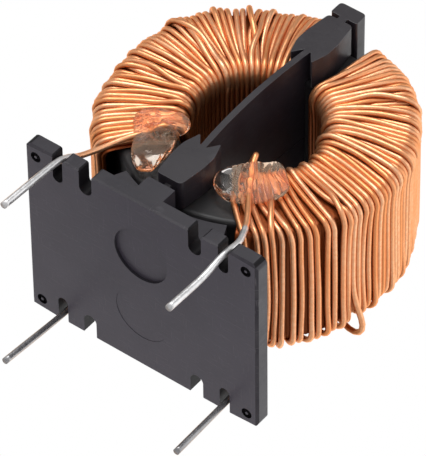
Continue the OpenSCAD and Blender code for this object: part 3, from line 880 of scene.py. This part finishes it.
glueLeft = {
    "outline": ((-14.3, 17.4), (-14.1, 18.8), (-13.0, 20.1), (-10.9, 20.8), (-8.9, 21.5), (-7.1, 20.9),
                (-6.3, 19.5), (-6.7, 17.9), (-6.1, 16.2), (-5.6, 14.5), (-5.5, 12.9), (-5.4, 11.2), (-5.3, 9.8),
                (-6.0, 8.9), (-7.1, 8.5), (-8.4, 9.1), (-9.5, 10.1), (-10.3, 11.0), (-11.0, 12.2), (-11.9, 13.6),
                (-13.0, 15.0), (-13.9, 16.1)),
    "centre": (-8.9, 15.0),
    "back": 11.6,
    "edge": 12.6,
    "front": 13.7,
    "lumps": ((-7.2, 11.2, 1.9, 0.9), (-8.3, 17.8, 1.2, 0.6), (-10.4, 15.4, 1.6, 0.6), (-7.4, 16.2, 0.8, 0.5),
              (-9.6, 17.0, 1.2, 0.6)),
    "milkyLine": ((-9.9, 10.5), (-5.2, 15.5)),
    "ridges": (3.6, 0.12),
    "beads": (14.0, 17.5, 0.12),
    "ruffle": 0.07,
    "seed": 8,
}


def ripples(rng, x, z, lengths, count=24):
    # sum of waves in random directions with wavelengths between two limits, about 1 in size
    turn, phase = rng.uniform(0, 2 * np.pi, (2, count))
    pace = 2 * np.pi / rng.uniform(*lengths, count)
    waves = np.sin(pace * (np.cos(turn) * x[..., None] + np.sin(turn) * z[..., None]) + phase)
    return waves.sum(-1) * np.sqrt(2 / count)


dropShape = {
    "rings": 46,
    "steps": 190,
    "power": 3,      # height = (1 - share^power)^(1 / root), with share from the centre to the edge
    "root": 2.2,
    "hazeFade": 0.5,  # mm past the line where the milky part starts
    "ridgeWaves": (3.0, 6.0),  # wavelengths in mm that bend the ridges, and by how much
    "ridgeBend": 1.5,
    "beadWaves": (0.6, 1.0),
    "beadFade": 0.4,
    "ruffleWaves": (1.2, 3.0),
    "clearRuffle": 0.3,  # share of the ruffle in the clear part
}


def makeGlueDrop(name, node, side, look, drop):
    # a drop whose outline is a smooth closed curve: from its centre outwards the front is rounded off
    # by a power curve, and raised by bells at the lumps, by waves over the wires and by ripples
    rings, steps = drop["rings"], drop["steps"]
    rng = np.random.default_rng(look["seed"])
    edge = closedCurve(look["outline"], steps)
    if np.sum(edge[:, 0] * np.roll(edge[:, 1], -1) - edge[:, 1] * np.roll(edge[:, 0], -1)) < 0:
        edge = edge[::-1]
    out = np.sin(0.5 * np.pi * np.arange(1, rings + 1) / rings)[:, None, None]
    plan = (np.array(look["centre"]) + out * (edge - look["centre"])).reshape(-1, 2)
    plan = np.vstack([look["centre"], plan])
    x, z = plan.T
    share = np.append(0, np.repeat(out.ravel(), steps))
    dome = (1 - np.clip(share, 0, 1) ** drop["power"]) ** (1 / drop["root"])
    angle = np.degrees(np.arctan2(side * x, ringShape["axisZ"] - z))
    (ax, az), (bx, bz) = look["milkyLine"]
    beside = ((bx - ax) * (z - az) - (bz - az) * (x - ax)) / math.hypot(bx - ax, bz - az)
    hazy = smoothStep(beside + drop["hazeFade"])
    lumps = np.max([most * np.exp(-((x - a) ** 2 + (z - b) ** 2) / reach ** 2)
                    for a, b, reach, most in look["lumps"]], 0)
    pitch, ridge = look["ridges"]
    low, high, bead = look["beads"]
    front = look["front"] - look["edge"] + lumps
    waves = drop["ridgeBend"] * ripples(rng, x, z, drop["ridgeWaves"])
    front += hazy * ridge * np.sin(2 * np.pi * angle / pitch + waves)
    between = smoothStep((z - low) / drop["beadFade"]) * stepBelow(z, high, drop["beadFade"]) * hazy
    front += bead * ripples(rng, x, z, drop["beadWaves"]) * between
    ruffled = drop["clearRuffle"] + (1 - drop["clearRuffle"]) * hazy
    front += look["ruffle"] * ripples(rng, x, z, drop["ruffleWaves"]) * ruffled
    outer = np.stack([x, -(look["edge"] + front * dome), z], 1)
    inner = np.stack([x, -(look["edge"] - (look["edge"] - look["back"]) * dome), z], 1)[:-steps]
    quads = ringFaces(rings, steps)[:, [0, 3, 2, 1]] + 1
    first = np.arange(steps)
    fan = np.stack([np.zeros(steps, int), 1 + first, 1 + (first + 1) % steps], -1)
    below = np.concatenate([len(plan) + np.arange(len(inner)), np.arange(len(inner), len(plan))])
    faces = quads.tolist() + fan.tolist() + below[quads[:, ::-1]].tolist() + below[fan[:, ::-1]].tolist()
    piece = newPiece(name, np.vstack([outer, inner]) * mm, faces, glues[0], [node], {})
    piece.data.materials.append(glues[1])
    order = np.concatenate([hazy[quads[:, 0]], hazy[fan[:, 1]]] * 2)
    piece.data.polygons.foreach_set("material_index", (order > 0.5).astype(np.int32))
    return piece


makeGlueDrop("clearGlueRight", "adhesive_right", 1, glueRight, dropShape)
makeGlueDrop("clearGlueLeft", "adhesive_left", -1, glueLeft, dropShape)
print("glue made")


plateShape = {
    "half": (21.0, 16.7),   # half its length and width
    "slots": ((15.0, 1.8), (9.9, 2.3)),  # place along the plate and width
    "slotFaces": (0.3, 0.02, 11.5, 2.5),  # this far inside the ends and the sides, from this Y on, to this Z, the slot walls get painted shade
    "mouthRound": 1.0,      # rounding of the slots' mouths, and the part of it that is kept
    "mouthKept": 0.35,
    "dimple": (19.0, 14.7, 0.95, 1.0),   # place, radius and depth
    "stud": (0.5, 0.1, 0.55),   # in each dimple: radius, Z of its top, and the part of its width that is kept
    "mark": (-6.1, 4.8),    # place across the plate and radius of the deeper mould mark
    "shallow": (0.3, 0.4),  # the other one, across the middle: Z up to which it is flattened, and by how much
    "flat": 0.9,            # a normal's share of Z past which its face lies flat,
    "steep": 0.5,           # and under which it is a side
}


def plateCorners(places, plate):
    # the rounded corner of each slot's mouth is drawn towards its tip by plain scaling; the studs in
    # the dimples are drawn in to their tips, and the shallow mark is flattened
    x, y, z = places.T
    side = np.stack([np.sign(x), np.sign(y)], 1) * plate["dimple"][:2]
    away = places[:, :2] - side
    radius, top, kept = plate["stud"]
    stud = (np.hypot(*away.T) < radius) & (z < top)
    places[stud, :2] = side[stud] + kept * away[stud]
    markY, markRadius = plate["mark"]
    top, kept = plate["shallow"]
    places[(np.hypot(x, y + markY) < markRadius + 0.1) & (z < top), 2] *= kept
    for across, width in plate["slots"]:
        for slotX in (-across - width / 2, -across + width / 2, across - width / 2, across + width / 2):
            for slotY in (-plate["half"][1], plate["half"][1]):
                away = places[:, :2] - (slotX, slotY)
                near = (np.abs(away) < plate["mouthRound"] + 0.02).all(1)
                places[near, :2] = (slotX, slotY) + away[near] * plate["mouthKept"]
    return places


def plateFinishAndShade(centres, normals, plate):
    # finish and painted shade of each face: 0 for the flat faces, 1 for the bevels, 2 for the sides and the mark,
    # darker as painted shade, 3 for the slots and the dimples, darkest as painted shade
    x, y, z = np.abs(centres[:, 0]), np.abs(centres[:, 1]), centres[:, 2]
    upright = np.abs(normals[:, 2]) < plate["steep"]
    fromEnd, fromSide, slotStart, slotTop = plate["slotFaces"]
    inside = upright & (x < plate["half"][0] - fromEnd) & (y < plate["half"][1] - fromSide) \
        & (y > slotStart) & (z < slotTop)
    dimpleX, dimpleY, radius, depth = plate["dimple"]
    dimple = (np.hypot(x - dimpleX, y - dimpleY) < radius) & (z > 0.01) & (z < depth)
    markY, markRadius = plate["mark"]
    mark = upright & (np.abs(np.hypot(x, centres[:, 1] - markY) - markRadius) < 0.1) & (z < depth)
    bevelled = (np.abs(normals[:, 2]) > plate["steep"]) & (np.abs(normals[:, 2]) < plate["flat"]) & (z < 0.5)
    return np.where(mark, 2, np.where(inside | dimple, 3, np.where(upright, 2, np.where(bevelled, 1, 0))))


bevelShapes = {
    # node: new name, width of the rounded edges in mm, materials of the faces, edges (on the dividers worn and lighter
    # as a painted highlight), sides and slots (painted shade), slot
    "base_plate": ("basePlate", 0, ("basePlastic", "baseEdge", "baseSideShade", "baseSlotShade"), "base_plastic"),
    "separator_front": ("frontDivider", 0.25, ("dividerPlastic", "dividerEdgeWearAndSheen"), "divider_plastic"),
    "separator_back": ("backDivider", 0.25, ("dividerPlastic", "dividerEdgeWearAndSheen"), "divider_plastic"),
}


rounding = {
    "merge": 1e-6,  # metres within which two vertices become one
    "level": 1,     # degrees within which two faces become one
    "curved": 35,   # degrees between the faces of a curved wall at most, and more at an edge
    "small": 4,     # mm2 of such a face at most
    "segments": 2,
}


def roundedCopy(node, name, width, finishesAndShades, slotName):
    # a merged copy of the node's mesh with rounded edges, which get a material of their own, on the dividers lighter
    # as a painted highlight besides wear; only small faces on curved walls are shaded smooth
    work = bmesh.new()
    work.from_mesh(nodes[node].data)
    bmesh.ops.remove_doubles(work, verts=work.verts, dist=rounding["merge"])
    bmesh.ops.dissolve_limit(work, angle_limit=math.radians(rounding["level"]), verts=work.verts, edges=work.edges)
    work.edges.index_update()
    angles = np.degrees([edge.calc_face_angle(0.0) for edge in work.edges])
    curved = np.array([any(rounding["level"] < angles[edge.index] < rounding["curved"] for edge in face.edges)
                       and face.calc_area() < rounding["small"] * mm ** 2 for face in work.faces])
    mesh = bpy.data.meshes.new(name)
    work.to_mesh(mesh)
    work.free()
    finishAndShade = np.zeros(len(mesh.polygons))
    # on the base plate faces get their finish and painted shade by place and normal
    if len(finishesAndShades) > 2:
        places = np.empty(3 * len(mesh.vertices))
        centres, normals = np.empty((2, 3 * len(mesh.polygons)))
        mesh.polygons.foreach_get("center", centres)
        mesh.polygons.foreach_get("normal", normals)
        mesh.vertices.foreach_get("co", places)
        finishAndShade = plateFinishAndShade(centres.reshape(-1, 3) / mm, normals.reshape(-1, 3), plateShape)
        places = plateCorners(places.reshape(-1, 3) / mm, plateShape) * mm
        mesh.vertices.foreach_set("co", places.ravel())
    for surfaceName in finishesAndShades:
        mesh.materials.append(plastics[surfaceName])
    mesh.polygons.foreach_set("use_smooth", curved)
    mesh.polygons.foreach_set("material_index", finishAndShade.astype(np.int32))
    mesh.update()
    piece = newObject(name, mesh)
    if width:
        bevel = piece.modifiers.new("roundedEdges", "BEVEL")
        bevel.width = width * mm
        bevel.segments = rounding["segments"]
        bevel.limit_method = "ANGLE"
        bevel.angle_limit = math.radians(rounding["curved"])
        bevel.material = 1
    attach(piece, "root")
    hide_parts(node)
    return piece


for nodeName, setup in bevelShapes.items():
    roundedCopy(nodeName, *setup)
for nodeName, key in (("core_case", "casePlastic"), ("core_case_lid", "casePlastic"), ("ring_core", "ferriteBlack")):
    nodes[nodeName].data.materials.clear()
    nodes[nodeName].data.materials.append(plastics[key])
print("plastics made")


stageSetup = {
    "drop": 0.0003,  # space under the lead tips
    "size": 1.6,
    "floor": (0.86, 0.86, 0.86),
    "ambient": 0.9,   # strength of the sweep on matt surfaces, and in glossy ones
    "gloss": 1.3,
    "roomAxis": (-0.43, -0.70, 0.57),  # towards the dim room
    "sweepEnd": 0.2,
    "roomStart": 0.85,
    "room": 0.24,      # share of the sweep's light left there
}


def makeStage(setup):
    # pale floor that shows from above only and casts no shadow
    low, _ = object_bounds()
    z = low[2] - setup["drop"]
    s = setup["size"] / 2
    mesh = bpy.data.meshes.new("studioFloor")
    mesh.from_pydata([(-s, -s, z), (s, -s, z), (s, s, z), (-s, s, z)], [], [(0, 1, 2, 3)])
    floor = newObject("studioFloor", mesh)
    material = bpy.data.materials.new("paleFloor")
    tree, output = newTree(material, "ShaderNodeOutputMaterial")
    below = addNode(tree, "ShaderNodeNewGeometry", "Backfacing", {})
    shadow = addNode(tree, "ShaderNodeLightPath", "Is Shadow Ray", {})
    diffuse = addNode(tree, "ShaderNodeBsdfDiffuse", "BSDF", {"Color": (*setup["floor"], 1)})
    clear = addNode(tree, "ShaderNodeBsdfTransparent", "BSDF", {})
    mix = addNode(tree, "ShaderNodeMixShader", "Shader",
                  {"Fac": combine(tree, below, shadow, "MAXIMUM"), 1: diffuse, 2: clear})
    fill(tree, output, {"Surface": mix})
    mesh.materials.append(material)
    floor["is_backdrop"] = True


def makeWorld(setup):
    # white for what is seen straight on; as light, a white sweep below and beside the part that
    # falls off to a dim room above it, by a smooth step of direction . roomAxis
    world = bpy.data.worlds.new("studioWorld")
    scene.world = world
    tree, output = newTree(world, "ShaderNodeOutputWorld")
    upward = tree.nodes.new("ShaderNodeVectorMath")
    upward.operation = "DOT_PRODUCT"
    fill(tree, upward, {0: addNode(tree, "ShaderNodeTexCoord", "Generated", {}), 1: setup["roomAxis"]})
    fall = ramped(tree, upward.outputs["Value"], setup["sweepEnd"], setup["roomStart"], 1.0, setup["room"])
    rays = tree.nodes.new("ShaderNodeLightPath").outputs
    strength = addNode(tree, "ShaderNodeMix", "Result",
                       {"Factor": rays["Is Glossy Ray"], "A": setup["ambient"], "B": setup["gloss"]})
    sweep = addNode(tree, "ShaderNodeBackground", "Background",
                    {"Color": (1, 1, 1, 1), "Strength": combine(tree, fall, strength, "MULTIPLY")})
    seen = addNode(tree, "ShaderNodeBackground", "Background", {"Color": (1, 1, 1, 1)})
    straightOn = combine(tree, rays["Is Camera Ray"], rays["Is Transmission Ray"], "MAXIMUM")
    mix = addNode(tree, "ShaderNodeMixShader", "Shader", {"Fac": straightOn, 1: sweep, 2: seen})
    fill(tree, output, {"Surface": mix})


lampSetup = {
    "aim": (0, 0, 0.02),
    "direction": (-0.1, 0.85, 0.5),  # from there, along the camera's right, up and back
    "distance": 0.6,
    "size": 0.45,
    "power": 2.3,
}


def makeLamp(setup):
    # a round lamp that looks back at the part
    light = bpy.data.lights.new("topLamp", "AREA")
    light.shape = "DISK"
    light.size = setup["size"]
    light.energy = setup["power"]
    lamp = newObject("topLamp", light)
    back = np.array(setup["direction"]) @ np.array([cameraSetup["right"], cameraSetup["up"], cameraSetup["back"]])
    back /= np.linalg.norm(back)
    right = np.cross([0, 0, 1.0], back)
    placeAt(lamp, right, np.cross(back, right), back, setup["aim"] + back * setup["distance"])


makeStage(stageSetup)
makeWorld(stageSetup)
makeLamp(lampSetup)
scene.view_settings.view_transform = "Standard"
print("stage and lamp made")
